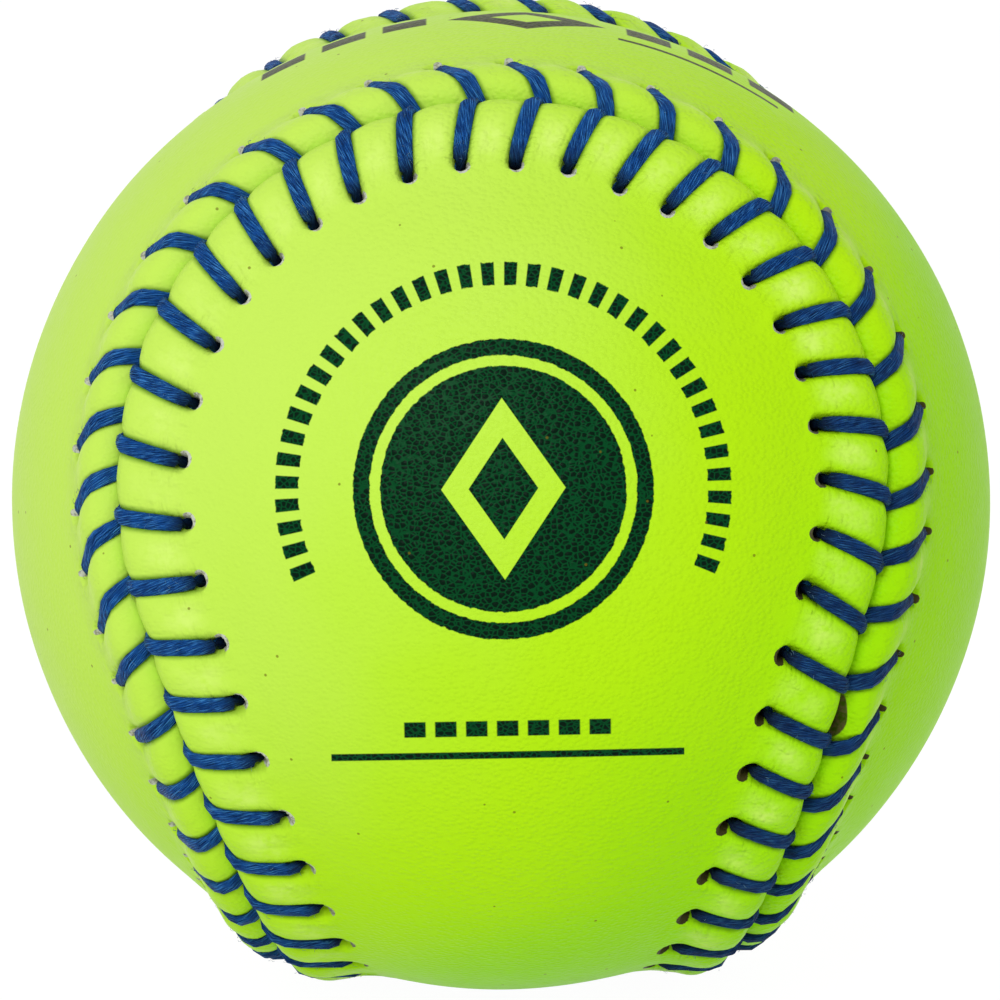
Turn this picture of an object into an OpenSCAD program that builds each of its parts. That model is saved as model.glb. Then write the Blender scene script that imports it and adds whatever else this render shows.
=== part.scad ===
// Softball: a solid core under a cement film, two leather panels, and the two threads that lace them together.
// The origin is the middle of the ball. The front panel's lobes face -Y and +Y, and its waist passes below.
// The side panel is the same cut of leather. Its lobes face +X and -X, and its waist passes over the top.

/* [Ball] */
// Diameter over the smooth leather, away from the seam
ball_d = 87.6; // [80:0.1:100]

/* [Cement] */
// Thickness of the cement film between the core and the leather
cement_t = 0.2; // [0.15:0.05:0.3]

/* [Leather] */
// Thickness of the leather
leather_t = 1.8; // [1.5:0.1:2.2]
// Angle by which the middle of each lobe leans away from the equator
lobe_tilt = 17.5; // [15:0.5:20]

/* [Seam] */
// Outer radius of the rolled edge of the leather
roll_r = 3; // [2.8:0.1:3.3]
// Height of the roll's crest above the smooth leather
roll_rise = 1.8; // [1.6:0.1:2.2]
// Height by which the threads below lift the leather beside the roll
lift_rise = 0.6; // [0.5:0.05:0.8]
// Width of the lifted leather outside the row of holes
lift_w = 1.2; // [1:0.1:1.5]
// Width of the slope from the lifted leather down to the smooth leather
slope_w = 1.5; // [1.2:0.1:2]

/* [Stitching] */
// Number of stitch holes along the edge of each panel
stitch_count = 88; // [80:4:96]
// Diameter of the waxed thread
thread_d = 1.1; // [0.9:0.05:1.2]
// Clearance between a thread and the leather
thread_clear = 0.15; // [0.1:0.01:0.2]
// Distance from the roll's crest to the row of holes
hole_from_crest = 3; // [2.8:0.1:3.2]
// Share of a stitch by which the legs on the front panel run ahead before they dive into the seam
front_lead_share = 0.38; // [0.3:0.01:0.4]
// Share of a stitch by which the legs on the side panel run ahead before they dive into the seam
side_lead_share = 0.63; // [0.6:0.01:0.7]

/* [Hidden] */
$fn = 128;
LEATHER = [0.72, 0.93, 0.14];
THREAD = [0.1, 0.26, 0.58];

// Radii of the layers
ball_r = ball_d / 2;
leather_in_r = ball_r - leather_t;
core_r = leather_in_r - cement_t;

// The threads' way: a slot between the rolls, and a channel between the film and the lifted leather
seam_gap = thread_d + 2 * thread_clear;
channel_r = leather_in_r + seam_gap;
channel_middle_r = leather_in_r + seam_gap / 2;
hole_d = thread_d + 2 * thread_clear;

// In the seam's cross-section, X runs outwards from the middle of the ball and Y away from the seam
roll_at = [ball_r + roll_rise - roll_r, seam_gap / 2 + roll_r];
tunnel_r = roll_r - leather_t;

// Distances over the leather from the seam, as angles at the middle of the ball
roll_angle = atan2(roll_at[1], roll_at[0]);
hole_angle = over_leather(roll_at[1] + hole_from_crest);
channel_angle = hole_angle + over_leather(hole_d);
lift_angle = hole_angle + over_leather(lift_w);
slope_angle = lift_angle + over_leather(slope_w);

// Seen from the middle, the seam is four arcs of one angular radius, which meet smoothly at the equator
lobe_angle = acos(-pow(sin(lobe_tilt), 2)) / 2;
half_turn = 90 + atan(sin(lobe_tilt));
quarter_stitches = stitch_count / 4;

// The leather beside the seam is swept along it, and the smooth leather between overlaps it
sweep_angle = 20;
overlap_angle = 15;

// Rings of thread over one roll, from the hole round the crest to the slot
THREAD_SIDES = 6;
OVER_ROLL = 4;
over_roll_r = roll_r + seam_gap / 2;
hole_ray = norm(roll_at) * cos(hole_angle - roll_angle)
    + sqrt(over_roll_r * over_roll_r - pow(norm(roll_at) * sin(hole_angle - roll_angle), 2));
leaving_angle = atan2(hole_ray * sin(hole_angle) - roll_at[1], hole_ray * cos(hole_angle) - roll_at[0]);
diving_angle = -60;
LEG = OVER_ROLL + 2;

function over_leather(distance) = distance / ball_r * 180 / PI;
function turned_x(p, a) = [p[0], p[1] * cos(a) - p[2] * sin(a), p[1] * sin(a) + p[2] * cos(a)];
function turned_z(p, a) = [p[0] * cos(a) - p[1] * sin(a), p[0] * sin(a) + p[1] * cos(a), p[2]];
function unit(v) = v / norm(v);
function is_side(quarter) = abs(quarter % 2) == 1;

// Direction to the seam about a lobe's axis, where along_share runs from one end of the arc to the other
function arc_direction(along_share, across) =
    let (turn = 90 + half_turn * (1 - 2 * along_share), polar = lobe_angle + across)
    [sin(polar) * cos(turn), sin(polar) * sin(turn), cos(polar)];

// Direction to the seam at a place counted in stitches from the front lobe's tip, moved towards the side panel
function seam_direction(stitch, across) =
    let (
        place = stitch / quarter_stitches + 1 / 2,
        quarter = floor(place),
        p = arc_direction(place - quarter, is_side(quarter) ? -across : across),
        q = turned_z(turned_x(p, 90 - lobe_tilt), 90 * quarter)
    )
    [q[0], q[1], is_side(quarter) ? -q[2] : q[2]];

// Point of the seam's cross-section, where side is 1 over the side panel and -1 over the front panel
function seam_point(stitch, section, side) =
    norm(section) * seam_direction(stitch, side * atan2(section[1], section[0]));

module core() {
    color([0.86, 0.8, 0.62])
        sphere(core_r);
}

module cement_film() {
    color([0.9, 0.87, 0.78])
        difference() {
            sphere(leather_in_r);
            sphere(core_r);
        }
}

// Flat slice of the ball between two angles
module slice(outer_r, from, to) {
    reach = 2 * outer_r;
    intersection() {
        circle(outer_r);
        polygon([[0, 0], reach * [cos(from), sin(from)], reach * [cos(to), sin(to)]]);
    }
}

// Flat slice of the lifted leather, whose far side slopes down to the smooth leather
module lifted_slice() {
    top = (ball_r + lift_rise) * [cos(lift_angle), sin(lift_angle)];
    foot = ball_r * [cos(slope_angle), sin(slope_angle)];
    intersection() {
        circle(ball_r + lift_rise);
        polygon([
            [0, 0],
            ball_d * [cos(roll_angle), sin(roll_angle)],
            top + 2 * (top - foot),
            foot + (foot - top) / 2,
        ]);
    }
}

// Cross-section of the leather, from its edge in the seam to an angle away from the seam
module leather_section(reach_angle) {
    difference() {
        union() {
            slice(ball_r, hole_angle, reach_angle);
            lifted_slice();
            translate(roll_at)
                circle(roll_r);
        }
        circle(leather_in_r);
        slice(channel_r, -channel_angle, channel_angle);
        translate(roll_at)
            circle(tunnel_r);
    }
}

// Puts a piece that is drawn about a lobe's axis in its place in one of the four quarters
module in_quarter(quarter) {
    mirror([0, 0, is_side(quarter) ? 1 : 0])
        rotate([0, 0, 90 * quarter])
            rotate([90 - lobe_tilt, 0, 0])
                children();
}

module round_lobe(reach_angle, inside) {
    rotate_extrude()
        intersection() {
            rotate(90 - lobe_angle)
                mirror([0, inside ? 0 : 1])
                    leather_section(reach_angle);
            translate([0, -ball_d])
                square([ball_d, 2 * ball_d]);
        }
}

module cone_about_lobe(angle) {
    cylinder(h = ball_d, r1 = 0, r2 = ball_d * tan(angle));
}

module half_space(above) {
    translate([-ball_d, -ball_d, above ? 0 : -2 * ball_d])
        cube(2 * ball_d);
}

// The panel's own two lobes, down to the equator
module lobes() {
    intersection() {
        union() {
            in_quarter(0)
                round_lobe(lobe_angle + sweep_angle, true);
            in_quarter(2)
                round_lobe(lobe_angle + sweep_angle, true);
        }
        half_space(true);
    }
}

// The waist below the equator, between the other panel's lobes
module waist() {
    intersection() {
        union() {
            in_quarter(1)
                round_lobe(sweep_angle, false);
            in_quarter(3)
                round_lobe(sweep_angle, false);
            difference() {
                sphere(ball_r);
                sphere(leather_in_r);
                in_quarter(1)
                    cone_about_lobe(lobe_angle + overlap_angle);
                in_quarter(3)
                    cone_about_lobe(lobe_angle + overlap_angle);
            }
        }
        half_space(false);
    }
}

module holes() {
    for (stitch = [0 : stitch_count - 1]) {
        way = seam_direction(stitch, -hole_angle);
        rotate([0, acos(way[2]), atan2(way[1], way[0])])
            translate([0, 0, channel_middle_r])
                cylinder(h = leather_t + roll_rise, d = hole_d);
    }
}

module panel() {
    difference() {
        union() {
            lobes();
            waist();
        }
        holes();
    }
}

module front_panel() {
    color(LEATHER)
        panel();
}

module side_panel() {
    color(LEATHER)
        rotate(a = 180, v = [1, -1, 0])
            panel();
}

// The rings of one leg: under its hole, over the roll, and down at the middle of the seam
function lead(side) = side > 0 ? side_lead_share : front_lead_share;
function over_roll(share) =
    let (angle = leaving_angle + (diving_angle - leaving_angle) * share)
    roll_at + over_roll_r * [cos(angle), sin(angle)];
function leg_place(ring, side) = ring == 0 ? 0 : lead(side) * min(1, (ring - 1) / (OVER_ROLL - 1));
function leg_section(ring) =
    ring == 0 ? channel_middle_r * [cos(hole_angle), sin(hole_angle)]
    : ring <= OVER_ROLL ? over_roll((ring - 1) / (OVER_ROLL - 1))
    : [channel_middle_r, 0];
function leg_side(stitch, first_side) = stitch % 2 == 0 ? first_side : -first_side;
function route(first_side) = [
    for (stitch = [0 : stitch_count - 1], ring = [0 : LEG - 1])
        let (side = leg_side(stitch, first_side))
        seam_point(stitch + leg_place(ring, side), leg_section(ring), side)
];

// A ring of points square to the route, turned by the seam's own direction so that the tube doesn't twist
function ring_points(points, i, seam_way) =
    let (
        last = len(points) - 1,
        ahead = unit(points[min(i + 1, last)] - points[max(i - 1, 0)]),
        u = unit(seam_way - (seam_way * ahead) * ahead),
        v = cross(ahead, u)
    )
    [
        for (k = [0 : THREAD_SIDES - 1])
            points[i] + thread_d / 2 * (cos(360 * k / THREAD_SIDES) * u + sin(360 * k / THREAD_SIDES) * v)
    ];
function seam_way(stitch) = unit(seam_direction(stitch + 0.5, 0) - seam_direction(stitch - 0.5, 0));
function corner(ring, k) = ring * THREAD_SIDES + k % THREAD_SIDES;

module thread(first_side) {
    points = route(first_side);
    rings = len(points);
    skin = [for (i = [0 : rings - 1]) each ring_points(points, i, seam_way(i / LEG))];
    sides = [
        for (i = [0 : rings - 2], k = [0 : THREAD_SIDES - 1])
            each [
                [corner(i, k), corner(i + 1, k), corner(i + 1, k + 1)],
                [corner(i, k), corner(i + 1, k + 1), corner(i, k + 1)],
            ]
    ];
    start_cap = [for (k = [1 : THREAD_SIDES - 2]) [0, k, k + 1]];
    end_cap = [for (k = [1 : THREAD_SIDES - 2]) [corner(rings - 1, 0), corner(rings - 1, k + 1), corner(rings - 1, k)]];
    color(THREAD)
        polyhedron(skin, concat(sides, start_cap, end_cap));
}

module first_thread() {
    thread(-1);
}

module second_thread() {
    thread(1);
}

core();
cement_film();
front_panel();
side_panel();
first_thread();
second_thread();
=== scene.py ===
"""A softball with an optic yellow leather cover, laced with blue thread, on a pale floor.

Lengths are in millimetres and angles in radians. Places along the seam count stitches from the front
lobe's tip.
"""

import math
import random
from bisect import bisect_right

import bmesh
import bpy
from mathutils import Matrix, Vector, noise


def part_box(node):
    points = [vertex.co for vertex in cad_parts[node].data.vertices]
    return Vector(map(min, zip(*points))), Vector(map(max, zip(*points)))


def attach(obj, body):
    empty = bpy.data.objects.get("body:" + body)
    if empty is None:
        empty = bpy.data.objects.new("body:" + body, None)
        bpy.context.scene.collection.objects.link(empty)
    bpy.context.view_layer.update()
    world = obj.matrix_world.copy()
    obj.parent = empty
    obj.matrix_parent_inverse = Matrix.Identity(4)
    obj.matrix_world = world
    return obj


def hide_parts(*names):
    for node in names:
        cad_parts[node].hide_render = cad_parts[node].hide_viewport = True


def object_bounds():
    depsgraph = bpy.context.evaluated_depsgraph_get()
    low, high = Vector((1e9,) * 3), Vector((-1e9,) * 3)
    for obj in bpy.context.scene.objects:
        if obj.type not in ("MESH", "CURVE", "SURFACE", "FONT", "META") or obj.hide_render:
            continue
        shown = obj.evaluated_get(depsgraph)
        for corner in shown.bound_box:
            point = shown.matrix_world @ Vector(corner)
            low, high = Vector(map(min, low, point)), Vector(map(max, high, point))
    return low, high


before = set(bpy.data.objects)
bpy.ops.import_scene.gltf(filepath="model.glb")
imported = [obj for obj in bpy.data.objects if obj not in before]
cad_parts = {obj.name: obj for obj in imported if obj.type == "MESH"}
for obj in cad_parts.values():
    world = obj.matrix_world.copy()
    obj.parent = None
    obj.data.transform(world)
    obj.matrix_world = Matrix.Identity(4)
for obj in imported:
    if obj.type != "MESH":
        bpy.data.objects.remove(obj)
cad_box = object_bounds()

MM = 0.001

# Layers, from the frame
BALL_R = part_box("front_panel")[1].y / MM
LEATHER_IN_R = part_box("cement_film")[1].z / MM

# The seam is four arcs about the lobes' middles, which lean away from the equator
STITCHES = 88
LOBE_TILT = math.radians(17.5)
LOBE_ANGLE = math.acos(-math.sin(LOBE_TILT) ** 2) / 2
HALF_TURN = math.pi / 2 + math.atan(math.sin(LOBE_TILT))
SEAM_LENGTH = 8 * HALF_TURN * math.sin(LOBE_ANGLE) * BALL_R
PITCH = SEAM_LENGTH / STITCHES

# Cross-section of the leather: a rolled edge that runs out into the smooth leather
ROLL_R = 2.3
CREST_RISE = 1.95
HALF_GAP = 0.1
RUN_OUT_W = 3.5
BAND_W = 10.6
EDGE_CLEAR = 0.05
HOLE_FROM_SEAM = 6.7
ROLL_AT = (BALL_R + CREST_RISE - ROLL_R, HALF_GAP + ROLL_R)

# How the lacing shapes the leather
PILLOW_RISE = 0.36
GROOVE_DEPTH = 0.56
GROOVE_W = 0.8
DIMPLE_DEPTH = 0.28
DIMPLE_W = 1.1
PIT_DEPTH = 1.5
PIT_R = 0.68
PIT_SHIFT = 0.42
PIT_EDGE_DEPTH = 0.3

# A distance from a pit counts less along the seam and towards it, so that the pit reaches further there
PIT_SIDEWAYS = 0.9
PIT_INWARDS = 0.6

# How uneven the leather is
WAVE_RISE = 0.09
WAVE_SIZE = 3.1
LUMP_RISE = 0.05
LUMP_SIZE = 1.1
LUMP_START = Vector((9, 0, 0))
DENT_DEPTH = 0.05
DENT_SIZE = 11

# The laces
LEADS = {-1: 0.38, 1: 0.63}
DRIFTS = {-1: 0.33, 1: 0.24}
DRIFT_SWELLS = {
    -1: ((-10.8, 2.2, -0.35), (-6.5, 2.5, 0.12), (15.5, 3.0, -0.4)),
    1: ((-12.5, 3.2, 0.5), (11.0, 1.8, -0.32)),
}
LACE_HALF_W = 0.6
LACE_HALF_T = 0.27
STRAND_R = 0.125
STRANDS = 18
STRAND_WOBBLE = 0.02
STRAND_SWELL = 0.12
STRAND_SHIFT = 3.7
STRAYS = 550
STRAY_POINTS = 4
STRAY_THINNESS = 0.1
STRAY_SHIFT = 50
DIVES_AT = 0.15
LEG_RINGS = 10
RINGS_DRAWN = 1.35
UNDER_RINGS = 3
UNDER_R = LEATHER_IN_R + 0.62
UNDER_NARROWING = 0.8
RINGS_PER_STITCH = LEG_RINGS + UNDER_RINGS
TWIST_PER_STITCH = 0.75 * math.tau

# One short stretch where the side panel's roll has drawn back from the front panel's
OPEN_AT = 13.25
OPEN_W = 0.32
OPEN_BY = 0.9
OPEN_MIDDLE_LEG = 12.5
OPEN_HALF_LEGS = 0.36
OPEN_BARE_HALF_W = 0.75

# The mesh of the band along the seam, whose columns and rows draw together at the holes
COLUMNS_PER_STITCH = 16
ROWS = 44
COLUMNS_DRAWN = 0.62
ROWS_DRAWN = 0.5
FAR_AWAY = (0.5, 20)

# The smooth leather beyond the band and the leather's inner side are cut from two spheres
SMOOTH_FROM_SEAM = BAND_W + 0.5
INNER_FROM_SEAM = 2.6
SMOOTH_FINENESS = 7
INNER_FINENESS = 6
CUT_SLACK = 1e-4
SLIVER_SHARE = 0.003


def clamp_share(value, low, high):
    """Share of the way from low to high, from 0 to 1."""
    return min(1.0, max(0.0, (value - low) / (high - low)))


def eased(value, low, high):
    """0 below low, 1 above high, with a smooth step between."""
    t = clamp_share(value, low, high)
    return t * t * (3 - 2 * t)


def bell(value, width):
    """1 in the middle, fading out smoothly to both sides."""
    return math.exp(-((value / width) ** 2))


def between(a, b, share):
    return a + (b - a) * share


def quarter_frame(quarter):
    """Turns a direction about a lobe's axis into its place in one of the four quarters."""
    turn = Matrix.Rotation(quarter * math.pi / 2, 3, "Z") @ Matrix.Rotation(math.pi / 2 - LOBE_TILT, 3, "X")
    return Matrix.Scale(-1, 3, (0, 0, 1)) @ turn if quarter % 2 else turn


QUARTERS = [quarter_frame(q) for q in range(4)]
LOBE_AXES = [q @ Vector((0, 0, 1)) for q in QUARTERS]


def seam_direction(stitch, across):
    """Direction to a place beside the seam, across towards the side panel."""
    place = stitch * 4 / STITCHES + 0.5
    quarter = math.floor(place)
    polar = LOBE_ANGLE + (-across if quarter % 2 else across)
    turn = math.pi / 2 + HALF_TURN * (1 - 2 * (place - quarter))
    about_lobe = Vector((math.sin(polar) * math.cos(turn), math.sin(polar) * math.sin(turn), math.cos(polar)))
    return QUARTERS[quarter % 4] @ about_lobe


def seam_place(stitch, side, section):
    """Place of a point of the cross-section, in millimetres."""
    return math.hypot(*section) * seam_direction(stitch, side * math.atan2(section[1], section[0]))


class Section:
    """The leather's outline across the seam, followed from the bottom of the gap to the smooth leather."""

    ANGLE_STEP = math.radians(1.5)
    RUN_STEP = 0.05

    def __init__(self):
        start = -math.acos((LEATHER_IN_R + EDGE_CLEAR - ROLL_AT[0]) / ROLL_R)
        steps = math.ceil(-start / self.ANGLE_STEP)
        runs = math.ceil((BAND_W - ROLL_AT[1]) / self.RUN_STEP)
        self.points = [self.round_roll(start * (1 - i / steps)) for i in range(steps + 1)]
        self.points += [self.run_out(between(ROLL_AT[1], BAND_W, i / runs)) for i in range(1, runs + 1)]
        self.lengths = [0.0]
        for p, q in zip(self.points, self.points[1:]):
            self.lengths.append(self.lengths[-1] + math.dist(p, q))
        self.length = self.lengths[-1]
        self.crest = self.lengths[steps]
        self.hole = next(s for s, p in zip(self.lengths, self.points) if p[1] >= HOLE_FROM_SEAM)

    def round_roll(self, angle):
        return (ROLL_AT[0] + ROLL_R * math.cos(angle), ROLL_AT[1] + ROLL_R * math.sin(angle))

    def run_out(self, away):
        radius = BALL_R + CREST_RISE * bell(away - ROLL_AT[1], RUN_OUT_W)
        return (math.sqrt(radius * radius - away * away), away)

    def at(self, s):
        """Point of the outline and the direction out of the leather there."""
        i = min(max(bisect_right(self.lengths, s) - 1, 0), len(self.points) - 2)
        p, q = self.points[i], self.points[i + 1]
        step = self.lengths[i + 1] - self.lengths[i]
        share = (s - self.lengths[i]) / step
        out = ((q[1] - p[1]) / step, (p[0] - q[0]) / step)
        return (between(p[0], q[0], share), between(p[1], q[1], share)), out


section = Section()
GAP_S = section.crest - ROLL_R * math.radians(74)
OPEN_BARE_AT = 2.35 - section.hole


def drift(side, stitch):
    """How far a stitch lies ahead of its even place."""
    near = (stitch + STITCHES / 2) % STITCHES - STITCHES / 2
    return DRIFTS[side] + sum(size * bell(near - place, width) for place, width, size in DRIFT_SWELLS[side])


class Lacing:
    """What differs from stitch to stitch along the edge of one panel."""

    def __init__(self, side, seed):
        chance = random.Random(seed)
        self.side = side
        self.pillow = [PILLOW_RISE * chance.uniform(0.75, 1.25) for _ in range(STITCHES)]
        self.groove = [GROOVE_DEPTH * chance.uniform(0.85, 1.15) for _ in range(STITCHES)]
        self.lead = [LEADS[side] + chance.uniform(-0.04, 0.04) for _ in range(STITCHES)]
        self.along = [drift(side, k) + chance.uniform(-0.035, 0.035) for k in range(STITCHES)]
        self.hole = [section.hole + chance.uniform(-0.16, 0.16) for _ in range(STITCHES)]
        self.pit = [PIT_R * chance.uniform(0.88, 1.15) for _ in range(STITCHES)]

    def blended(self, values, a):
        low = math.floor(a)
        return between(values[low % STITCHES], values[(low + 1) % STITCHES], a - low)

    def stitch(self, a, s):
        """Place along the seam of a line that follows the legs, which run ahead from the hole to the gap."""
        hole = self.blended(self.hole, a)
        ahead = 1 - clamp_share(s, 1.0, hole)
        return a + self.blended(self.along, a) + self.blended(self.lead, a) * ahead


LACINGS = {"front": Lacing(-1, 11), "side": Lacing(1, 12)}


def held_back(s):
    """The relief is shallower on the gap's side of the roll."""
    return 0.45 + 0.55 * eased(s, section.crest - 1.2, section.crest + 1.8)


def groove_at(lacing, a, s):
    """Depth to which the leg presses into the leather."""
    near = round(a)
    k = near % STITCHES
    on_roll = 1 - eased(s, lacing.hole[k] - 0.2, lacing.hole[k] + 0.8)
    away = abs(a - near) * PITCH
    return lacing.groove[k] * bell(away, GROOVE_W) * on_roll * held_back(s)


def relief(lacing, a, s):
    """How far the leather stands out of the even cross-section."""
    near = round(a)
    k = near % STITCHES
    away = abs(a - near) * PITCH
    gap = math.floor(a)
    swell = math.sin(math.pi * (a - gap)) ** 2
    on_roll = 1 - eased(s, section.crest + 1.0, section.hole + 2.0)
    pillow = lacing.pillow[gap % STITCHES] * swell * on_roll * held_back(s)
    from_hole = math.hypot(away, s - lacing.hole[k])
    past_pit = s - lacing.hole[k] - PIT_SHIFT
    from_pit = math.hypot(away * PIT_SIDEWAYS, max(past_pit, -PIT_INWARDS * past_pit))
    dimple = DIMPLE_DEPTH * bell(from_hole, DIMPLE_W)
    pit = PIT_DEPTH * (1 - eased(from_pit, lacing.pit[k] * 0.4, lacing.pit[k] * 1.25))
    return pillow - groove_at(lacing, a, s) - dimple - pit


def leather_place(lacing, a, s):
    """Place of the leather's surface, where a counts stitches along the legs' lines."""
    point, out = section.at(s)
    stitch = lacing.stitch(a, s)
    side = lacing.side
    even = seam_place(stitch, side, point)
    rough = WAVE_RISE * noise.noise(even / WAVE_SIZE) + LUMP_RISE * noise.noise(even / LUMP_SIZE + LUMP_START)
    fade = 1 - eased(s, section.length - 2.0, section.length)
    lift = (relief(lacing, a, s) + rough) * fade
    x = point[0] + out[0] * lift
    y = point[1] + out[1] * lift
    if side > 0:
        on_gap_side = 1 - eased(s, section.crest - 1.2, section.crest + 1.6)
        y += OPEN_BY * bell(stitch - OPEN_AT, OPEN_W) * on_gap_side
    return seam_place(stitch, side, (x, max(y, HALF_GAP / 3)))


def column_place(share):
    """Stitch that a column follows: the columns draw together at the legs."""
    whole = share * STITCHES
    part = whole - math.floor(whole)
    return whole - COLUMNS_DRAWN * math.sin(math.tau * part) / math.tau


def row_place(share):
    """Length along the cross-section of a row: the rows draw together at the holes."""
    middle = section.hole / section.length
    drawn = ROWS_DRAWN / math.tau
    shift = drawn * (math.sin(math.tau * (share - middle)) + math.sin(math.tau * middle))
    return section.length * (share - shift)


def rolled_band(lacing):
    """The leather along the seam as an open band, with its rims at the smooth leather and in the gap."""
    bm = bmesh.new()
    columns = COLUMNS_PER_STITCH * STITCHES
    bmesh.ops.create_grid(bm, x_segments=columns, y_segments=ROWS, size=1)
    seam_map = bm.loops.layers.uv.new("seam_map")
    edge = 1 - 0.5 / columns
    smooth_rim = [v for v in bm.verts if v.co.y > edge]
    gap_rim = [v for v in bm.verts if v.co.y < -edge]
    ends = [v for v in bm.verts if abs(v.co.x) > edge]
    for vert in bm.verts:
        a = column_place((vert.co.x + 1) / 2)
        s = row_place((vert.co.y + 1) / 2)
        hole = lacing.blended(lacing.hole, a)
        for loop in vert.link_loops:
            loop[seam_map].uv = (a, s - hole)
        vert.co = leather_place(lacing, a, s)
    bmesh.ops.remove_doubles(bm, verts=ends, dist=0.001)
    return bm, smooth_rim, gap_rim


def bend_plane(east, north):
    """Facing of the plane through two neighbouring lobes' middles, where two arcs of the seam meet."""
    return Vector((math.sin(LOBE_TILT) * east, -math.sin(LOBE_TILT) * north, math.cos(LOBE_TILT)))


def above_bends(place):
    """Above 0 where the front panel's lobes lie, below 0 where the side panel's lie."""
    return math.sin(LOBE_TILT) * (abs(place.x) - abs(place.y)) + math.cos(LOBE_TILT) * place.z


def panel_part(side, radius, reach, fineness):
    """The part of a sphere inside one panel, down to a distance from the seam."""
    bm = bmesh.new()
    bmesh.ops.create_icosphere(bm, subdivisions=fineness, radius=radius)
    own = [axis for axis in LOBE_AXES if (axis.z > 0) == (side < 0)]
    others = [axis for axis in LOBE_AXES if (axis.z > 0) != (side < 0)]
    angle = reach / radius
    inner_cos, outer_cos = math.cos(LOBE_ANGLE - angle), math.cos(LOBE_ANGLE + angle)

    def cut(chosen, at, facing):
        faces = [f for f in bm.faces if chosen(f.calc_center_median())]
        edges = list({e for f in faces for e in f.edges})
        verts = list({v for f in faces for v in f.verts})
        bmesh.ops.bisect_plane(bm, geom=verts + edges + faces, plane_co=at, plane_no=facing, dist=CUT_SLACK)

    def in_own_lobes(place):
        return above_bends(place) * side < 0

    for east in (-1, 1):
        for north in (-1, 1):
            cut(lambda p: p.x * east > 0 and p.y * north > 0, (0, 0, 0), bend_plane(east, north))
    for axis in own:
        cut(in_own_lobes, axis * radius * inner_cos, axis)
    for axis in others:
        cut(lambda p: not in_own_lobes(p), axis * radius * outer_cos, axis)

    def outside(face):
        place = face.calc_center_median()
        direction = place.normalized()
        if in_own_lobes(place):
            return max(direction.dot(axis) for axis in own) < inner_cos
        return max(direction.dot(axis) for axis in others) > outer_cos

    bmesh.ops.delete(bm, geom=[f for f in bm.faces if outside(f)], context="FACES")
    rim = list({v for e in bm.edges if e.is_boundary for v in e.verts})
    bmesh.ops.remove_doubles(bm, verts=rim, dist=radius * SLIVER_SHARE)
    return bm


def join_to_band(bm, rim, part):
    """Adds a part to the band and closes the gap between their rims."""
    rim = set(v for v in rim if v.is_valid)
    known = set(bm.verts)
    mesh = bpy.data.meshes.new("joining")
    part.to_mesh(mesh)
    part.free()
    bm.from_mesh(mesh)
    bpy.data.meshes.remove(mesh)
    edges = [
        e for e in bm.edges
        if e.is_boundary and (set(e.verts) <= rim or not known.intersection(e.verts))
    ]
    bmesh.ops.bridge_loops(bm, edges=edges)


def soft_dents(bm):
    """The smooth leather isn't a true sphere: it gives a little."""
    for vert in bm.verts:
        place = vert.co
        radius = place.length
        if radius > BALL_R - PIT_EDGE_DEPTH:
            vert.co = place * (1 + DENT_DEPTH * noise.noise(place / DENT_SIZE) / radius)


def mark_away(bm, band):
    """Faces that aren't on the band lie far from every hole in the seam's map."""
    seam_map = bm.loops.layers.uv["seam_map"]
    for face in bm.faces:
        if face not in band:
            for loop in face.loops:
                loop[seam_map].uv = FAR_AWAY


def finished(name, bm, material, replaced):
    """Makes a visible piece of a mesh in millimetres."""
    bmesh.ops.scale(bm, vec=(MM, MM, MM), verts=bm.verts)
    mesh = bpy.data.meshes.new(name)
    bm.to_mesh(mesh)
    bm.free()
    mesh.polygons.foreach_set("use_smooth", [True] * len(mesh.polygons))
    return placed(name, mesh, material, replaced)


def placed(name, mesh, material, replaced):
    """Puts a visible piece in the scene, in place of the CAD nodes that it stands for."""
    piece = bpy.data.objects.new(name, mesh)
    bpy.context.scene.collection.objects.link(piece)
    piece.data.materials.clear()
    piece.data.materials.append(material)
    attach(piece, "root")
    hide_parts(*replaced)
    return piece


def leather_panel(name, node, material):
    """One of the two dumbbell-shaped pieces of leather, as a closed solid."""
    lacing = LACINGS[name]
    bm, smooth_rim, gap_rim = rolled_band(lacing)
    band = set(bm.faces)
    join_to_band(bm, smooth_rim, panel_part(lacing.side, BALL_R, SMOOTH_FROM_SEAM, SMOOTH_FINENESS))
    soft_dents(bm)
    inner_side = panel_part(lacing.side, LEATHER_IN_R + EDGE_CLEAR, INNER_FROM_SEAM, INNER_FINENESS)
    join_to_band(bm, gap_rim, inner_side)
    mark_away(bm, band)
    bmesh.ops.recalc_face_normals(bm, faces=bm.faces)
    return finished(f"leather_{name}", bm, material, [node])


def lace_profile(t):
    """Half width, half thickness and sink of a lace along a leg, from its hole to the gap."""
    at_hole = 1 - eased(t, 0.0, 0.35)
    at_gap = eased(t, 0.78, 1.0)
    width = LACE_HALF_W * (1 - 0.2 * at_hole - 0.12 * at_gap)
    thickness = LACE_HALF_T * (1 + 0.3 * at_hole + 0.25 * at_gap)
    sink = 1.3 * (1 - eased(t, -0.02, 0.085))
    return width, thickness, sink


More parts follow.
